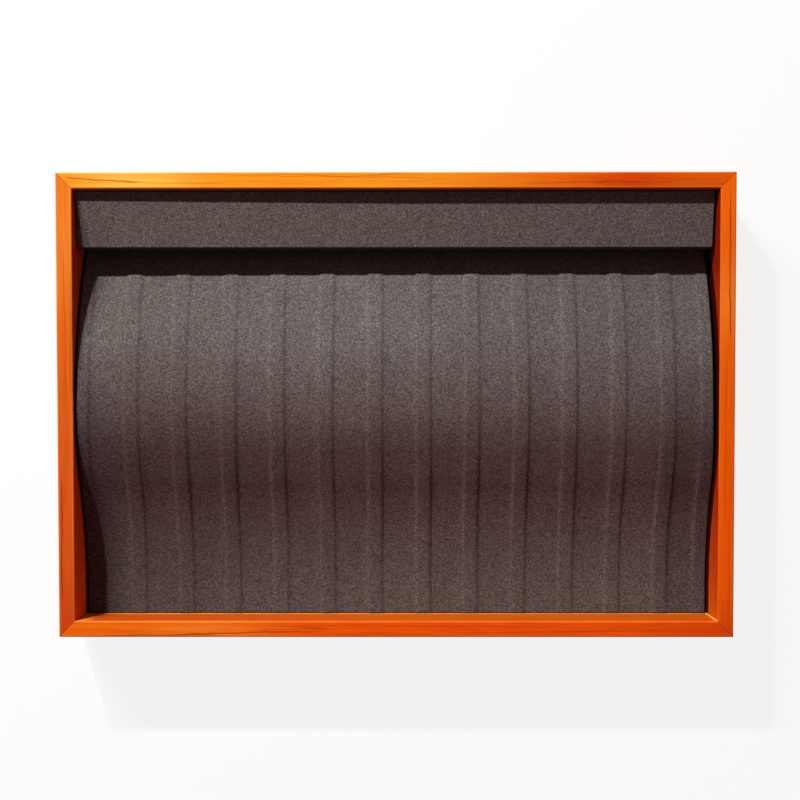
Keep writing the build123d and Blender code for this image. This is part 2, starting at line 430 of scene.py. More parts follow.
def makeDarkLineGroup(sizes):
    group, inside, outside = newGroup(
        "darkLine",
        [
            ("Vector", "NodeSocketVector", None),
            ("Along", "NodeSocketFloat", 0.0),
            ("Across", "NodeSocketFloat", 0.0),
            ("From Along", "NodeSocketFloat", 0.0),
            ("To Along", "NodeSocketFloat", 1.0),
            ("From Across", "NodeSocketFloat", 0.0),
            ("To Across", "NodeSocketFloat", 0.0),
            ("Width", "NodeSocketFloat", sizes["width"]),
        ],
        [("Line", "NodeSocketFloat")],
    )
    sockets = inside.outputs
    length = addMath(group, "SUBTRACT", sockets["To Along"], sockets["From Along"])
    run = addMath(group, "SUBTRACT", sockets["Along"], sockets["From Along"])
    share = addMath(group, "DIVIDE", run, length)
    drift = addMath(group, "SUBTRACT", sockets["To Across"], sockets["From Across"])
    middle = addMath(group, "MULTIPLY_ADD", share, drift, sockets["From Across"])
    noise = addNoise(group, sockets["Vector"], *sizes["noise"])
    wobble = addMath(group, "SUBTRACT", noise, 0.5)
    bent = addMath(group, "MULTIPLY_ADD", wobble, sizes["wobble"], middle)
    away = addDistance(group, sockets["Across"], bent)
    widths = addMath(group, "DIVIDE", away, sockets["Width"])
    core = addRange(group, widths, sizes["solid"], 1.0, 1.0, 0.0)
    begin = addRange(group, share, 0.0, sizes["taperIn"])
    finish = addRange(group, share, sizes["taperOut"], 1.0, 1.0, 0.0)
    whole = addMath(group, "MULTIPLY", addMath(group, "MULTIPLY", begin, finish), core)
    group.links.new(whole, outside.inputs["Line"])
    return group


darkLineGroup = makeDarkLineGroup(darkLineSizes)

# Cloth over the wave. Its strips and its outline are read from the frame, in metres.
bedCover = {
    "valleyFlat": 0.0141,
    "valleyZ": 0.013,
    "crestZ": 0.032,
    "crestToRear": 0.1141,
    "frontRadius": 0.100,
    "rearRadius": 0.185,
    "stripCount": 14,
    "ridgeHeight": 0.0007,
    "slopeInside": 0.0006,
    "slopeOutside": 0.0017,
    "slopeRoom": 0.00002,  # for rounding
    "edgeRadius": 0.0011,
    "frontEdgeRadius": 0.0007,
    "frontSwell": 0.00035,
    "thickness": 0.0005,
    "slopeColumns": 6,
    "flatColumns": 4,
    "edgeSteps": 5,
    "apronSteps": 5,
    "rows": 84,
    "outlineStops": 14,
    "bulge": 0.0014,
    "bulgeFrom": (0.005, -0.05),
    # The ridges wander and swell in slow waves: size, turn from ridge to ridge, turn per metre
    "wander": [(0.0002, 2.3, 26), (0.0001, 5, 71)],
    "swell": (0.1, 5.1, 31),
    "clearOfBase": 0.0001,
    "weld": 0.00002,
}
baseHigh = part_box("insert_base")[1]
coverLow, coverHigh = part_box("bed_cover")
strips = [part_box(f"ridge_strip_{number + 1}") for number in range(bedCover["stripCount"])]


def waveHeight(y, sizes):
    rise = sizes["crestZ"] - sizes["valleyZ"]
    valleyY = coverLow.y + sizes["valleyFlat"]
    crestY = baseHigh.y - sizes["crestToRear"]
    radiusSum = ((crestY - valleyY) ** 2 + rise**2) / (2 * rise)
    valleyRadius = radiusSum - sizes["frontRadius"]
    slopeY = crestY - (crestY - valleyY) * sizes["frontRadius"] / radiusSum
    if y < valleyY:
        return sizes["valleyZ"]
    if y < slopeY:
        return sizes["valleyZ"] + valleyRadius - math.sqrt(valleyRadius**2 - (y - valleyY) ** 2)
    radius = sizes["frontRadius"] if y < crestY else sizes["rearRadius"]
    return sizes["crestZ"] - radius + math.sqrt(radius**2 - (y - crestY) ** 2)


def makeWaveLine(sizes, halfWidth, rimHeight):
    # The wave's outline as ramp stops, from the front of a side rail to its rear
    start, length = coverLow.y, coverHigh.y - coverLow.y
    last = sizes["outlineStops"] - 1
    stops = [start + length * step / last for step in range(last + 1)]
    return [(0.5 + y / (2 * halfWidth), (waveHeight(y, sizes) / rimHeight,) * 3) for y in stops]


# Stained rails. Each goes from a low tone to a high one over a stretch of its run, with a
# pale patch, a deep one and a few lines of grain; on the rear rail the pale left end and the
# deep red right end also paint the lamp's reflection in the lacquer. The inner face has its
# own tones: "inner" along the run, starting at "topEdge" under the rim, with "foot" as a
# factor at the bottom that paints bounced light or shade. One more entry says how high over
# the cloth, and how strongly, that face gets a painted band: pale light by the front and rear
# rails, black shade along the wave's sides. The arrises' tone is pale wear with part of the
# inner arris highlight painted in; the right rail's is darker, a painted shade over it.
railFinish = {
    "rail_rear": {
        "along": "X",
        "stretch": (0.0, 0.11),
        # The pale left end and the deep red right end also paint the lamp's reflection in the
        # lacquer
        "low": fromScreen(242, 146, 30),
        "high": fromScreen(222, 90, 8),
        "palePatch": (-0.135, 0.045, 0.6),
        "deep": (0.122, 0.03, 0.75),
        "lines": [
            (-0.172, -0.128, 0.1172, 0.1145),
            (-0.165, -0.075, 0.1148, 0.1138),
            (-0.09, 0.03, 0.1182, 0.1168),
            (0.06, 0.165, 0.1142, 0.1156),
        ],
        "inner": [(0.1, (0.8, 0.15, 0.012)), (0.9, (0.55, 0.06, 0.003))],
        # Darker at the foot: painted shade
        "foot": (0.8, 0.8, 0.8),
        "topEdge": (0.0007, 0.0014),
        "paintedBand": (0.001, 0.002, 0.5),
        "wearAndArrisLight": (0.3, fromScreen(255, 168, 84)),
    },
    "rail_front": {
        "along": "X",
        "stretch": (-0.14, 0.0),
        "low": fromScreen(244, 110, 13),
        "high": fromScreen(246, 86, 7),
        "palePatch": (-0.10, 0.05, 0.12),
        "deep": (0.165, 0.05, 0.35),
        "lines": [
            (-0.16, -0.03, -0.1196, -0.1166),
            (-0.06, 0.09, -0.1138, -0.1146),
            (0.03, 0.15, -0.1178, -0.1163),
        ],
        "inner": [
            # Lighter at the left end: painted light in the shaded front left corner
            (0.028, (0.95, 0.28, 0.03)),
            (0.05, (0.44, 0.062, 0.002)),
            (0.5, (0.54, 0.092, 0.003)),
        ],
        "foot": (1.0, 1.0, 1.0),
        "topEdge": (0.0007, 0.0014),
        "paintedBand": (0.0012, 0.0035, 0.95),
        "wearAndArrisLight": (0.25, fromScreen(255, 150, 62)),
    },
    "rail_left": {
        "along": "Y",
        "stretch": (-0.1, 0.1),
        "low": fromScreen(206, 79, 24),
        "high": fromScreen(217, 103, 22),
        "palePatch": (0.09, 0.06, 0.15),
        "deep": (-0.13, 0.05, 0.45),
        "lines": [
            (-0.105, -0.03, -0.1735, -0.1728),
            (0.0, 0.09, -0.1702, -0.1712),
        ],
        "inner": [
            (0.1, (0.95, 0.12, 0.007)),
            (0.35, (0.95, 0.06, 0.004)),
            (0.8, (0.8, 0.06, 0.006)),
        ],
        # Lighter at the foot: painted bounced light
        "foot": (1.0, 1.3, 1.2),
        "topEdge": (0.0007, 0.0014),
        "paintedBand": (0.0012, 0.0028, 0.9),
        "wearAndArrisLight": (0.3, fromScreen(255, 168, 84)),
    },
    "rail_right": {
        "along": "Y",
        "stretch": (-0.1, 0.1),
        "low": fromScreen(252, 96, 6),
        "high": fromScreen(242, 104, 10),
        "palePatch": (0.055, 0.03, 0.15),
        "deep": (-0.125, 0.04, 0.45),
        "lines": [
            (0.03, 0.116, 0.1722, 0.1716),
            (-0.07, 0.04, 0.1696, 0.1705),
            (-0.11, -0.05, 0.1728, 0.1722),
        ],
        "inner": [
            (0.04, (0.65, 0.092, 0.004)),
            (0.13, (0.52, 0.047, 0.002)),
            (0.28, (0.36, 0.026, 0.002)),
            (0.74, (0.3, 0.019, 0.0014)),
            (0.81, (0.2, 0.010, 0.0008)),
        ],
        # Lighter and yellower at the foot: painted bounced light
        "foot": (1.12, 1.35, 1.5),
        "topEdge": (0.0001, 0.0004),
        "paintedBand": (0.0042, 0.006, 0.97),
        # Darker than the top: a painted shade over the lamp's highlight on the arris
        "wearAndArrisLight": (0.5, fromScreen(225, 90, 14)),
    },
}
railStain = {
    "palePatch": fromScreen(255, 196, 84),
    "deep": fromScreen(206, 56, 5),
    "pore": (0.35, 0.06, 0.004),
    "line": (0.2, 0.022, 0.003),
    "joint": (0.12, 0.012, 0.002),
    # Painted black shade along the wave's sides, on the side rails' inner faces
    "paintedBlackShade": (0.020, 0.002, 0.001),
    # Painted pale light at the foot of the front and rear rails' inner faces
    "paintedPaleLight": (0.9, 0.26, 0.045),
    "glint": (1.0, 0.55, 0.2),
    "side": fromScreen(200, 80, 18),
}
railLook = {
    "shades": [(0.3, (0.80, 0.68, 0.55)), (0.52, (1.0, 1.0, 1.0)), (0.75, (1.08, 1.14, 1.2))],
    "lineShare": 0.7,
    "pores": 0.14,
    "lines": 0.6,
    "firstLine": (0.0005, 0.7),  # width in metres, strength
    "otherLines": (0.0003, 0.4),
    "outerWear": 0.22,
    "outerFace": 0.85,
    "outerLines": 0.5,
    "joint": 0.6,
    "glint": 0.9,
    "roughness": (0.3, 0.45),
    "specular": 0.03,
    "coat": 0.05,
    "coatRoughness": 0.2,
    "bump": 0.00006,
}
railSizes = {
    "height": 0.035,
    "width": 0.0084,
    "halfLength": 0.175,
    "halfWidth": 0.12,
    "innerEdge": (0.0001, 0.0006),
    "outerEdge": (0.0078, 0.0083),
    "outerTop": (0.0005, 0.002),
    "footReach": (0.0015, 0.019),
    "joint": (0.00012, 0.0003),
    "glint": (0.00024, 0.0006),
    "glintFrom": (0.2, 0.25),  # X less Y
}
waveLine = makeWaveLine(bedCover, railSizes["halfWidth"], railSizes["height"])


def addPatch(tree, along, place, reach, strength):
    return addRange(tree, addDistance(tree, along, place), 0.0, reach, strength, 0.0)


def addTopStain(tree, finish, stain, look, grain, shades, along):
    run = addRange(tree, along, *finish["stretch"])
    colour = addMix(tree, run, finish["low"], finish["high"])
    for patch in ("palePatch", "deep"):
        colour = addMix(tree, addPatch(tree, along, *finish[patch]), colour, stain[patch])
    colour = addShade(tree, colour, shades)
    colour = addMix(tree, addScaled(tree, grain["Pores"], look["pores"]), colour, stain["pore"])
    return addMix(tree, addScaled(tree, grain["Lines"], look["lines"]), colour, stain["line"])


def addDarkLines(tree, colour, finish, stain, look, where):
    for number, ends in enumerate(finish["lines"]):
        width, strength = look["otherLines" if number else "firstLine"]
        values = dict(zip(("From Along", "To Along", "From Across", "To Across"), ends))
        line = addGroup(tree, darkLineGroup, {**where, **values, "Width": width})["Line"]
        colour = addMix(tree, addScaled(tree, line, strength), colour, stain["line"])
    return colour


def makeInnerTone(tree, finish, stain, sizes, shades, split, drop):
    # The inner face's own tones, its foot factor painting bounced light or shade. Beside the insert
    # a painted band: pale light in front of the valley, black shade along the wave's two sides.
    lengthwise = finish["along"] == "X"
    halfAlong = sizes["halfLength" if lengthwise else "halfWidth"]
    share = addRange(tree, split[finish["along"]], -halfAlong, halfAlong, smooth=False)
    tone = addShade(tree, addRamp(tree, share, finish["inner"]), shades)
    foot = addRange(tree, drop, *sizes["footReach"], smooth=False)
    tone = addMix(tree, foot, tone, addShade(tree, tone, finish["foot"]))
    clothHeight = bedCover["valleyZ"]
    if not lengthwise:
        clothHeight = addScaled(tree, addRamp(tree, share, waveLine), sizes["height"])
    above = addMath(tree, "SUBTRACT", split["Z"], clothHeight)
    low, high, strength = finish["paintedBand"]
    bandShare = addRange(tree, above, low, high, strength, 0.0)
    return addMix(tree, bandShare, tone, stain["paintedPaleLight" if lengthwise else "paintedBlackShade"])


def addOuterFace(tree, colour, stain, look, sizes, grain, shades, outward, drop):
    # The outer face is an even stain, with little of the top's pale and deep patches
    outer = addMath(
        tree,
        "MULTIPLY",
        addRange(tree, outward, *sizes["outerEdge"], 0.0, look["outerFace"]),
        addRange(tree, drop, *sizes["outerTop"]),
    )
    side = addShade(tree, stain["side"], shades)
    side = addMix(tree, addScaled(tree, grain["Lines"], look["outerLines"]), side, stain["line"])
    return addMix(tree, outer, colour, side)


def addMitres(tree, colour, stain, look, sizes, split, inner):
    corner = addMath(
        tree,
        "SUBTRACT",
        addMath(tree, "ABSOLUTE", split["X"]),
        addMath(tree, "ABSOLUTE", split["Y"]),
    )
    gap = addDistance(tree, corner, sizes["halfLength"] - sizes["halfWidth"])
    joint = addRange(tree, gap, *sizes["joint"], look["joint"], 0.0)
    colour = addMix(tree, joint, colour, stain["joint"])
    # Down the inner corner at the front right, a painted glint: the joint as a wider pale line
    sideways = addMath(tree, "SUBTRACT", split["X"], split["Y"])
    frontRight = addRange(tree, sideways, *sizes["glintFrom"])
    pale = addRange(tree, gap, *sizes["glint"], look["glint"], 0.0)
    glint = addMath(tree, "MULTIPLY", pale, addMath(tree, "MULTIPLY", inner, frontRight))
    return addMix(tree, glint, colour, stain["glint"])


def makeRailMaterial(name, finish, stain, look, sizes):
    material, tree, shader, place = newMaterial(name)
    lengthwise = finish["along"] == "X"
    turn = (0, 0, 0 if lengthwise else math.radians(90))
    grain = addGroup(
        tree,
        grainGroup,
        {"Vector": addMapping(tree, place, (1, 1, 1), turn), "Line Share": look["lineShare"]},
    )
    shades = addRamp(tree, grain["Tone"], look["shades"])
    split = addSplit(tree, place)
    along = split["X" if lengthwise else "Y"]
    across = split["Y" if lengthwise else "X"]
    innerPlace = sizes["halfWidth" if lengthwise else "halfLength"] - sizes["width"]
    outward = addMath(tree, "SUBTRACT", addMath(tree, "ABSOLUTE", across), innerPlace)
    drop = addMath(tree, "SUBTRACT", sizes["height"], split["Z"])

    colour = addTopStain(tree, finish, stain, look, grain, shades, along)
    where = {"Vector": place, "Along": along, "Across": across}
    colour = addDarkLines(tree, colour, finish, stain, look, where)
    arrisMasks = addGroup(
        tree,
        arrisMaskGroup,
        {"Vector": place, "Outward": outward, "Drop": drop, "Width": sizes["width"]},
    )
    # The arrises' tone: pale wear with part of the inner arris highlight painted in, or on the
    # right rail a darker painted shade over it
    wearAndArrisLight, arrisColour = finish["wearAndArrisLight"]
    for label, strength in (("Inner", wearAndArrisLight), ("Outer", look["outerWear"])):
        colour = addMix(tree, addScaled(tree, arrisMasks[label], strength), colour, arrisColour)
    inner = addMath(
        tree,
        "MULTIPLY",
        addRange(tree, outward, *sizes["innerEdge"], 1.0, 0.0),
        addRange(tree, drop, *finish["topEdge"]),
    )
    innerTone = makeInnerTone(tree, finish, stain, sizes, shades, split, drop)
    colour = addMix(tree, inner, colour, innerTone)
    colour = addOuterFace(tree, colour, stain, look, sizes, grain, shades, outward, drop)
    colour = addMitres(tree, colour, stain, look, sizes, split, inner)

    tree.links.new(colour, shader.inputs["Base Color"])
    roughness = addRange(tree, grain["Pores"], 0.0, 1.0, *look["roughness"])
    tree.links.new(roughness, shader.inputs["Roughness"])
    shader.inputs["Specular IOR Level"].default_value = look["specular"]
    shader.inputs["Coat Weight"].default_value = look["coat"]
    shader.inputs["Coat Roughness"].default_value = look["coatRoughness"]
    addBump(tree, shader, grain["Height"], look["bump"])
    return material


def setMaterial(piece, material):
    piece.data.materials.clear()
    piece.data.materials.append(material)


for name, finish in railFinish.items():
    material = makeRailMaterial(name + "Wood", finish, railStain, railLook, railSizes)
    setMaterial(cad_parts[name], material)
print("rails stained")


# Nap of the suede: single lighter and darker fibre tips over a slow cloud of rubbing
napSizes = {
    "tipSize": 0.0005,
    "tipShare": 0.5,
    "fuzz": {"Detail": 2.0, "Roughness": 0.7},
    "fuzzPerTip": 0.8,
    "cloud": (38.0, 3.0, 0.55),
}


def makeNapGroup(sizes):
    group, inside, outside = newGroup(
        "suedeNap",
        [("Vector", "NodeSocketVector", None), ("Tip Size", "NodeSocketFloat", sizes["tipSize"])],
        [("Tips", "NodeSocketFloat"), ("Cloud", "NodeSocketFloat"), ("Height", "NodeSocketFloat")],
    )
    vector = inside.outputs["Vector"]
    perMetre = addMath(group, "DIVIDE", 1.0, inside.outputs["Tip Size"])
    cells = group.nodes.new("ShaderNodeTexVoronoi")
    group.links.new(vector, cells.inputs["Vector"])
    group.links.new(perMetre, cells.inputs["Scale"])
    split = group.nodes.new("ShaderNodeSeparateColor")
    group.links.new(cells.outputs["Color"], split.inputs[0])
    fuzz = group.nodes.new("ShaderNodeTexNoise")
    for label, value in sizes["fuzz"].items():
        fuzz.inputs[label].default_value = value
    group.links.new(vector, fuzz.inputs["Vector"])
    group.links.new(addScaled(group, perMetre, sizes["fuzzPerTip"]), fuzz.inputs["Scale"])
    fuzzy = addScaled(group, fuzz.outputs["Fac"], 1 - sizes["tipShare"])
    tips = addMath(group, "MULTIPLY_ADD", split.outputs[0], sizes["tipShare"], fuzzy)
    cloud = addNoise(group, vector, *sizes["cloud"])
    group.links.new(tips, outside.inputs["Tips"])
    group.links.new(cloud, outside.inputs["Cloud"])
    group.links.new(tips, outside.inputs["Height"])
    return group


napGroup = makeNapGroup(napSizes)
suedeFinish = {
    "tipSize": 0.00046,
    "tones": [
        (0.2, (0.042, 0.031, 0.030)),
        (0.5, (0.097, 0.076, 0.074)),
        (0.8, (0.190, 0.160, 0.156)),
    ],
    "rubbed": [(0.3, (0.94, 0.93, 0.92)), (0.7, (1.06, 1.06, 1.06))],
    "roughness": 0.95,
    "specular": 0.06,
    "sheen": 0.01,
    "sheenRoughness": 0.6,
    "bump": 0.00003,
}

# Painted light and shade on the wave's cloth. From the front edge to the rear one it goes from
# brown to grey, darker down the front slope; across it, towards the front, a painted shadow
# darkens its left end by the rail and a painted shade its last lane at the right
wavePaintedLight = {
    "reach": 0.111,
    "tones": [
        (0.0, (0.82, 0.95, 0.87)),
        (0.1, (0.895, 0.845, 0.82)),
        (0.29, (1.05, 0.78, 0.80)),
        (0.335, (0.99, 0.75, 0.78)),
        (0.39, (0.82, 0.585, 0.605)),
        (0.51, (0.92, 0.88, 0.88)),
        (0.66, (1.06, 1.15, 1.14)),
        (0.8, (0.94, 1.03, 1.02)),
    ],
    "halfLength": 0.1658,
    "frontAcross": [
        (0.02, (0.58, 0.62, 0.66)),
        (0.07, (0.76, 0.73, 0.73)),
        (0.4, (0.97, 0.97, 0.97)),
        (0.9, (1.06, 1.07, 1.07)),
        (0.94, (0.86, 0.86, 0.86)),
    ],
    "rearAcross": [
        (0.18, (0.935, 0.935, 0.935)),
        (0.4, (1.06, 1.075, 1.09)),
        (0.56, (1.05, 1.06, 1.07)),
        (0.8, (0.98, 0.98, 0.99)),
    ],
    "between": (-0.02, 0.03),
}
# Painted shade on the bar's cloth: darker towards its left end, and much darker on the side over
# the slot
barPaintedShade = {
    "halfLength": 0.165,
    "along": [(0.03, (0.88, 0.86, 0.86)), (0.25, (1.0, 1.0, 1.0))],
    "slotSide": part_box("bar_cover")[0].y,
    "slotShade": (0.2, 0.0001, 0.0007),
}


def addBarPaintedShade(tree, split, colour, lightTable):
    # Painted shade by where the cloth lies on the bar
    share = addRange(tree, split["X"], -lightTable["halfLength"], lightTable["halfLength"], smooth=False)
    colour = addShade(tree, colour, addRamp(tree, share, lightTable["along"]))
    shade, near, far = lightTable["slotShade"]
    behind = addMath(tree, "SUBTRACT", split["Y"], lightTable["slotSide"])
    return addShade(tree, colour, addRange(tree, behind, near, far, shade, 1.0))


def addWavePaintedLight(tree, split, colour, lightTable):
    # Painted light and shade by where the cloth lies on the wave
    run = addRange(tree, split["Y"], -lightTable["reach"], lightTable["reach"], smooth=False)
    colour = addShade(tree, colour, addRamp(tree, run, lightTable["tones"]))
    sideways = addRange(tree, split["X"], -lightTable["halfLength"], lightTable["halfLength"], smooth=False)
    across = addMix(
        tree,
        addRange(tree, split["Y"], *lightTable["between"]),
        addRamp(tree, sideways, lightTable["frontAcross"]),
        addRamp(tree, sideways, lightTable["rearAcross"]),
    )
    return addShade(tree, colour, across)


def makeSuede(name, finish, addPaintedLight, lightTable):
    material, tree, shader, place = newMaterial(name)
    pile = addGroup(tree, napGroup, {"Vector": place, "Tip Size": finish["tipSize"]})
    colour = addRamp(tree, pile["Tips"], finish["tones"])
    colour = addShade(tree, colour, addRamp(tree, pile["Cloud"], finish["rubbed"]))
    # The cloth's painted light and shade, by where it lies
    colour = addPaintedLight(tree, addSplit(tree, place), colour, lightTable)
    tree.links.new(colour, shader.inputs["Base Color"])
    shader.inputs["Roughness"].default_value = finish["roughness"]
    shader.inputs["Specular IOR Level"].default_value = finish["specular"]
    shader.inputs["Sheen Weight"].default_value = finish["sheen"]
    shader.inputs["Sheen Roughness"].default_value = finish["sheenRoughness"]
    addBump(tree, shader, pile["Height"], finish["bump"])
    return material


suede = makeSuede("suedeCloth", suedeFinish, addBarPaintedShade, barPaintedShade)


def smoothStep(share):
    share = min(1.0, max(0.0, share))
    return share * share * (3 - 2 * share)


def ridgeRise(x, y, sizes):
    rise = 0.0
    slope = sizes["slopeInside"] + sizes["slopeOutside"]
    swell, swellTurn, swellWave = sizes["swell"]
    for number, (low, high) in enumerate(strips):
        drift = sum(
            reach * math.sin(turn * number + wave * y) for reach, turn, wave in sizes["wander"]
        )
        left = right = 1.0
        if number > 0:
            left = (x - drift - low.x + sizes["slopeOutside"]) / slope
        if number < len(strips) - 1:
            right = (high.x + sizes["slopeOutside"] - x + drift) / slope
        if left > 0 and right > 0:
            height = 1 + swell * math.sin(swellTurn * number + swellWave * y)
            rise = sizes["ridgeHeight"] * height * smoothStep(left) * smoothStep(right)
    return rise


def bulgeOut(x, y, sizes):
    # The cloth stands off a little at the right of the valley, outside the last strip
    rear, front = sizes["bulgeFrom"]
    low, high = strips[-1]
    forward = smoothStep((rear - y) / (rear - front))
    rightward = smoothStep((x - low.x) / (high.x - low.x))
    return sizes["bulge"] * forward * rightward


def roundEdge(inset, sizes):
    # Steps from the cloth's foot up its side and over its rounded edge, each as its distance
    # from the side, its drop round the edge and its share of the way down the side
    steps = [(0.0, inset, step / sizes["apronSteps"]) for step in range(sizes["apronSteps"], 0, -1)]
    for step in range(sizes["edgeSteps"]):
        turn = math.radians(90) * step / sizes["edgeSteps"]
        steps.append((inset * (1 - math.cos(turn)), inset * (1 - math.sin(turn)), 0.0))
    return steps


def coverColumns(sizes):
    # Each column as its place across, its drop and its share of the way down the side
    inset = sizes["edgeRadius"]
    slopeLimit = sizes["slopeRoom"] + sizes["slopeInside"] + sizes["slopeOutside"]
    edges = [coverLow.x + inset]
    for low, high in strips:
        edges += [low.x - sizes["slopeOutside"], low.x + sizes["slopeInside"]]
        edges += [high.x - sizes["slopeInside"], high.x + sizes["slopeOutside"]]
    edges = edges[:1] + edges[3:-2] + [coverHigh.x - inset]
    inner = []
    for start, end in zip(edges, edges[1:]):
        count = sizes["slopeColumns" if end - start < slopeLimit else "flatColumns"]
        inner += [start + (end - start) * step / count for step in range(count)]
    side = roundEdge(inset, sizes)
    left = [(coverLow.x + back, drop, share) for back, drop, share in side]
    right = [(coverHigh.x - back, drop, share) for back, drop, share in side]
    return left + [(x, 0.0, 0.0) for x in inner + edges[-1:]] + right[::-1]


def coverRows(sizes):
    inset = sizes["frontEdgeRadius"]
    front = coverLow.y - sizes["frontSwell"]
    rows = [(front + back, drop, share) for back, drop, share in roundEdge(inset, sizes)]
    start = front + inset
    length = coverHigh.y - start
    steps = sizes["rows"]
    return rows + [(start + length * step / steps, 0.0, 0.0) for step in range(steps + 1)]


smoothAngle = math.radians(40)


def giveThickness(piece, thickness):
    solidify = piece.modifiers.new("clothThickness", "SOLIDIFY")
    solidify.thickness = thickness
    solidify.offset = -1
    bpy.ops.object.modifier_apply(modifier=solidify.name)
    bpy.ops.object.shade_smooth_by_angle(angle=smoothAngle)


def makeBedCover(sizes):
    columns = coverColumns(sizes)
    rows = coverRows(sizes)
    lastColumn, lastRow = len(columns) - 1, len(rows) - 1
    bpy.ops.object.select_all(action="DESELECT")
    bpy.ops.mesh.primitive_grid_add(x_subdivisions=lastColumn, y_subdivisions=lastRow, size=2)
    cover = bpy.context.object
    cover.name = "bedCover"
    corner = set()
    for vertex in cover.data.vertices:
        x, sideDrop, sideShare = columns[round((vertex.co.x + 1) / 2 * lastColumn)]
        y, frontDrop, frontShare = rows[round((vertex.co.y + 1) / 2 * lastRow)]
        z = waveHeight(y, sizes) + ridgeRise(x, y, sizes) - sideDrop - frontDrop
        z = max(z, baseHigh.z + sizes["clearOfBase"])
        x += bulgeOut(x, y, sizes)
        share = max(sideShare, frontShare)
        vertex.co = (x, y, z + (baseHigh.z - z) * share)
        if sideShare and frontShare:
            corner.add(vertex.index)
    # The two front corners, where both aprons would run on, are cut out
    bpy.ops.object.mode_set(mode="EDIT")
    bpy.ops.mesh.select_mode(type="FACE")
    bpy.ops.mesh.select_all(action="DESELECT")
    bpy.ops.object.mode_set(mode="OBJECT")
    for polygon in cover.data.polygons:
        polygon.select = any(index in corner for index in polygon.vertices)
    bpy.ops.object.mode_set(mode="EDIT")
    bpy.ops.mesh.delete(type="FACE")
    bpy.ops.mesh.select_all(action="SELECT")
    bpy.ops.mesh.remove_doubles(threshold=sizes["weld"])
    bpy.ops.mesh.normals_make_consistent(inside=False)
    bpy.ops.object.mode_set(mode="OBJECT")
    giveThickness(cover, sizes["thickness"])
    return cover


cover = makeBedCover(bedCover)
setMaterial(cover, makeSuede("waveSuede", suedeFinish, addWavePaintedLight, wavePaintedLight))
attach(cover, "insert")
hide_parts("bed_cover")
area = sum(polygon.area for polygon in cover.data.polygons) / 2
print("bed cover made,", len(cover.data.polygons), "faces, area", round(area, 4))


# Cloth round the bar: a box with its front top edge let down, its edges softly rounded
barCover = {
    "frontDrop": 0.0037,
    "leftSwell": 0.0009,
    "rounding": 0.0006,
    "roundingSteps": 4,
    "lengthCuts": 48,
    "thickness": 0.0005,
    "nearEdge": 0.0001,
    "weld": 0.00001,
}


def applyPlace():
    bpy.ops.object.transform_apply(location=True, rotation=True, scale=True)


def addBox(name, low, high):
    # A cube between two corners, selected and with its place in its mesh
    bpy.ops.object.select_all(action="DESELECT")
    bpy.ops.mesh.primitive_cube_add(size=1, location=(low + high) / 2)
    box = bpy.context.object
    box.name = name
    box.scale = high - low
    applyPlace()
    return box


def selectEdges(piece, isWanted):
    # Leaves edit mode open, with only the wanted edges selected
    bpy.ops.object.mode_set(mode="EDIT")
    bpy.ops.mesh.select_mode(type="EDGE")
    bpy.ops.mesh.select_all(action="DESELECT")
    bpy.ops.object.mode_set(mode="OBJECT")
    for edge in piece.data.edges:
        first, second = (piece.data.vertices[index].co for index in edge.vertices)
        edge.select = isWanted(first, second)
    bpy.ops.object.mode_set(mode="EDIT")


def weighNormals(piece):
    # Keeps the shading of a large flat side flat up to its rounded edges
    weighted = piece.modifiers.new("flatSides", "WEIGHTED_NORMAL")
    weighted.mode = "FACE_AREA"
    weighted.weight = 100
    weighted.keep_sharp = True
    bpy.ops.object.modifier_apply(modifier=weighted.name)


def makeBarCover(sizes):
    low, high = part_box("bar_cover")
    cover = addBox("barCover", low, high)
    frontLimit, topLimit = low.y + sizes["nearEdge"], high.z - sizes["nearEdge"]

    def isFrontTop(first, second):
        return all(end.y < frontLimit and end.z > topLimit for end in (first, second))

    selectEdges(cover, isFrontTop)
    bpy.ops.transform.translate(value=(0, 0, -sizes["frontDrop"]))
    bpy.ops.mesh.select_all(action="SELECT")
    bpy.ops.mesh.bevel(
        offset=sizes["rounding"],
        segments=sizes["roundingSteps"],
        affect="EDGES",
        clamp_overlap=True,
    )
    bpy.ops.object.mode_set(mode="OBJECT")

    def isLengthwise(first, second):
        return abs(first.x - second.x) > 0.5 * (high.x - low.x)

    selectEdges(cover, isLengthwise)
    bpy.ops.mesh.subdivide(number_cuts=sizes["lengthCuts"])
    bpy.ops.mesh.select_all(action="SELECT")
    bpy.ops.mesh.remove_doubles(threshold=sizes["weld"])
    bpy.ops.mesh.normals_make_consistent(inside=False)
    bpy.ops.object.mode_set(mode="OBJECT")
    for vertex in cover.data.vertices:
        # The cloth is fuller towards the left end, on top only
        leftward = max(0.0, vertex.co.x / low.x)
        share = leftward * smoothStep((vertex.co.z - low.z) / (high.z - low.z))
        vertex.co.z += sizes["leftSwell"] * share
    giveThickness(cover, sizes["thickness"])
    weighNormals(cover)
    return cover


bar = makeBarCover(barCover)
setMaterial(bar, suede)
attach(bar, "bar")
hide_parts("bar_cover")
area = sum(polygon.area for polygon in bar.data.polygons) / 2
print("bar cover made, area", round(area, 4))


# Thin sheets that lie flat: the well's cloth, slightly wavy, and the felt under the tray
wellSheet = {
    "node": "well_lining",
    "cuts": (60, 8),
    "thickness": 0.0005,
    "wave": 0.0002,
    "turns": (310, 140),  # of the wave, per metre along X and Y
}
baseSheet = {
    "node": "base_lining",
    "cuts": (60, 8),
    "thickness": 0.0009,
    "wave": 0.0,
    "turns": (0, 0),
}


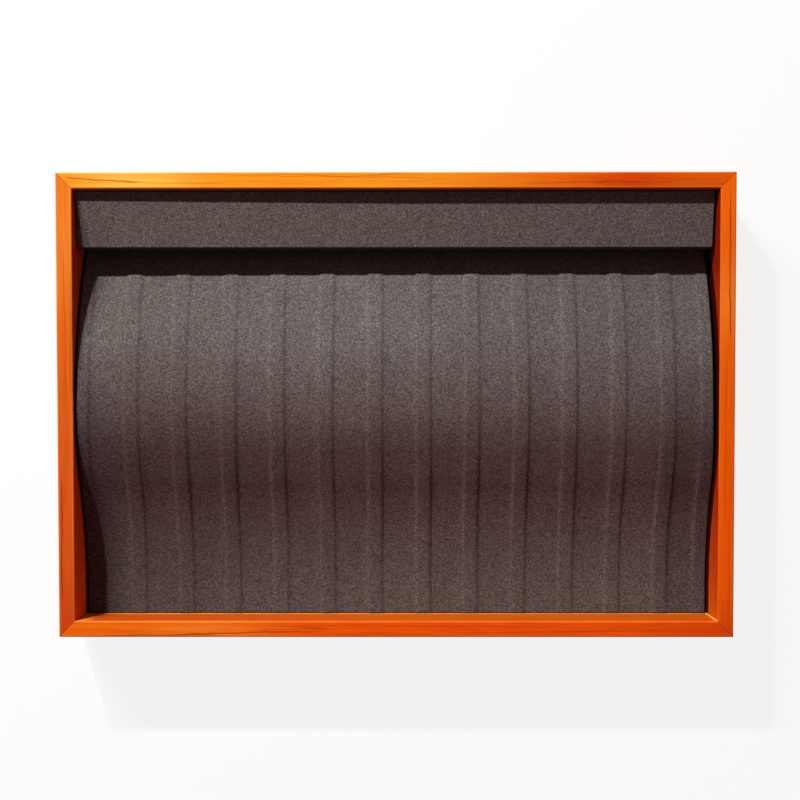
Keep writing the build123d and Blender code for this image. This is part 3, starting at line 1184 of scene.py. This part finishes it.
def makeLining(name, sizes):
    low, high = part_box(sizes["node"])
    lengthCuts, widthCuts = sizes["cuts"]
    bpy.ops.object.select_all(action="DESELECT")
    bpy.ops.mesh.primitive_grid_add(x_subdivisions=lengthCuts, y_subdivisions=widthCuts, size=1)
    lining = bpy.context.object
    lining.name = name
    lining.location = ((low.x + high.x) / 2, (low.y + high.y) / 2, high.z)
    lining.scale = (high.x - low.x, high.y - low.y, 1)
    applyPlace()
    turnX, turnY = sizes["turns"]
    for vertex in lining.data.vertices:
        turn = turnX * vertex.co.x + turnY * vertex.co.y
        vertex.co.z -= sizes["wave"] * (0.5 + 0.5 * math.sin(turn))
    giveThickness(lining, sizes["thickness"])
    return lining


wellLining = makeLining("wellLining", wellSheet)
setMaterial(wellLining, suede)
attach(wellLining, "insert")
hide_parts("well_lining")

feltFinish = {
    "colours": [(0.38, (0.016, 0.015, 0.015)), (0.62, (0.07, 0.066, 0.064))],
    "fibres": (900.0, 4.0, 0.75, 1.5),  # scale, detail, roughness, distortion
    "mat": (160.0, 3.0, 0.6),
    "fibreShare": 0.7,
    "roughness": 0.97,
    "specular": 0.05,
    "sheen": 0.15,
    "bump": 0.0004,
}


def makeFelt(name, finish):
    material, tree, shader, place = newMaterial(name)
    fibres = addNoise(tree, place, *finish["fibres"])
    mat = addScaled(tree, addNoise(tree, place, *finish["mat"]), 1 - finish["fibreShare"])
    both = addMath(tree, "MULTIPLY_ADD", fibres, finish["fibreShare"], mat)
    tree.links.new(addRamp(tree, both, finish["colours"]), shader.inputs["Base Color"])
    shader.inputs["Roughness"].default_value = finish["roughness"]
    shader.inputs["Specular IOR Level"].default_value = finish["specular"]
    shader.inputs["Sheen Weight"].default_value = finish["sheen"]
    addBump(tree, shader, both, finish["bump"])
    return material


baseLining = makeLining("baseLining", baseSheet)
setMaterial(baseLining, makeFelt("blackFelt", feltFinish))
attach(baseLining, "tray")
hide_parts("base_lining")
print("linings made")


# Bare wood, board and metal of the parts that the cloth hides
plainWood = {
    "tones": [(0.35, (0.56, 0.38, 0.21)), (0.65, (0.74, 0.56, 0.36))],
    "pore": (0.4, 0.25, 0.12),
    "strengths": {"Pores": 0.3, "Lines": 0.6},
    "lineShare": 0.5,
    "roughness": 0.62,
    "bump": 0.0001,
    "nodes": ["hook_rail", "bar_core", "bar_rest_left", "bar_rest_right"]
    + [f"corner_tongue_{number}" for number in range(1, 5)],
}


def makePlainWood(name, finish):
    material, tree, shader, place = newMaterial(name)
    grain = addGroup(tree, grainGroup, {"Vector": place, "Line Share": finish["lineShare"]})
    colour = addRamp(tree, grain["Tone"], finish["tones"])
    for label, strength in finish["strengths"].items():
        colour = addMix(tree, addScaled(tree, grain[label], strength), colour, finish["pore"])
    tree.links.new(colour, shader.inputs["Base Color"])
    shader.inputs["Roughness"].default_value = finish["roughness"]
    addBump(tree, shader, grain["Height"], finish["bump"])
    return material


boardFinish = {
    "fibreboard": {
        "colours": [
            (0.3, (0.30, 0.20, 0.12)),
            (0.5, (0.46, 0.33, 0.21)),
            (0.7, (0.58, 0.44, 0.30)),
        ],
        "fleck": 1400.0,
        "roughness": 0.8,
        "nodes": [f"former_{number}" for number in range(1, 6)],
    },
    # Near black, so that its colour paints the shade in the gaps beside the insert
    "gapShadeBoard": {
        "colours": [(0.3, (0.018, 0.016, 0.015)), (0.7, (0.075, 0.068, 0.062))],
        "fleck": 1100.0,
        "roughness": 0.7,
        "nodes": ["bottom_board"],
    },
    "greyboard": {
        "colours": [
            (0.3, (0.30, 0.285, 0.26)),
            (0.5, (0.42, 0.40, 0.37)),
            (0.7, (0.52, 0.50, 0.46)),
        ],
        "fleck": 700.0,
        "roughness": 0.88,
        "nodes": ["insert_base", "wave_board"]
        + [f"ridge_strip_{number}" for number in range(1, 15)],
    },
}


boardNoise = {
    "flecks": (4.0, 0.7, 0.6),  # detail, roughness, distortion
    "fleckShare": 0.7,
    "flecksPerCloud": 12,
    "cloudDetail": 3.0,
    "bump": 0.00012,
}


def makeBoard(name, finish, noise):
    material, tree, shader, place = newMaterial(name)
    flecks = addNoise(tree, place, finish["fleck"], *noise["flecks"])
    clouds = addNoise(tree, place, finish["fleck"] / noise["flecksPerCloud"], noise["cloudDetail"])
    slow = addScaled(tree, clouds, 1 - noise["fleckShare"])
    both = addMath(tree, "MULTIPLY_ADD", flecks, noise["fleckShare"], slow)
    tree.links.new(addRamp(tree, both, finish["colours"]), shader.inputs["Base Color"])
    shader.inputs["Roughness"].default_value = finish["roughness"]
    addBump(tree, shader, both, noise["bump"])
    return material


metalFinish = {
    "hookBrass": {
        "colours": [(0.35, (0.70, 0.50, 0.20)), (0.65, (0.84, 0.66, 0.32))],
        "roughness": (0.18, 0.36),
        "stretch": (300, 40, 300),
        "nodes": [f"hook_{number}" for number in range(1, 14)],
    },
    "magnetSteel": {
        "colours": [(0.35, (0.55, 0.55, 0.56)), (0.65, (0.68, 0.68, 0.70))],
        "roughness": (0.22, 0.42),
        "stretch": (60, 900, 900),
        "nodes": ["rest_magnet_left", "rest_magnet_right", "bar_magnet_left", "bar_magnet_right"],
    },
}


metalMarks = {"noise": (4.0, 0.65), "range": (0.3, 0.7), "bump": 0.00002}


def makeMetal(name, finish, marking):
    material, tree, shader, place = newMaterial(name)
    marks = addStretched(tree, place, finish["stretch"], *marking["noise"])
    tree.links.new(addRamp(tree, marks, finish["colours"]), shader.inputs["Base Color"])
    roughness = addRange(tree, marks, *marking["range"], *finish["roughness"])
    tree.links.new(roughness, shader.inputs["Roughness"])
    shader.inputs["Metallic"].default_value = 1.0
    addBump(tree, shader, marks, marking["bump"])
    return material


def dressNodes(material, names):
    for name in names:
        setMaterial(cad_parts[name], material)


dressNodes(makePlainWood("plainWood", plainWood), plainWood["nodes"])
for name, finish in boardFinish.items():
    dressNodes(makeBoard(name, finish, boardNoise), finish["nodes"])
for name, finish in metalFinish.items():
    dressNodes(makeMetal(name, finish, metalMarks), finish["nodes"])
print("hidden parts finished")
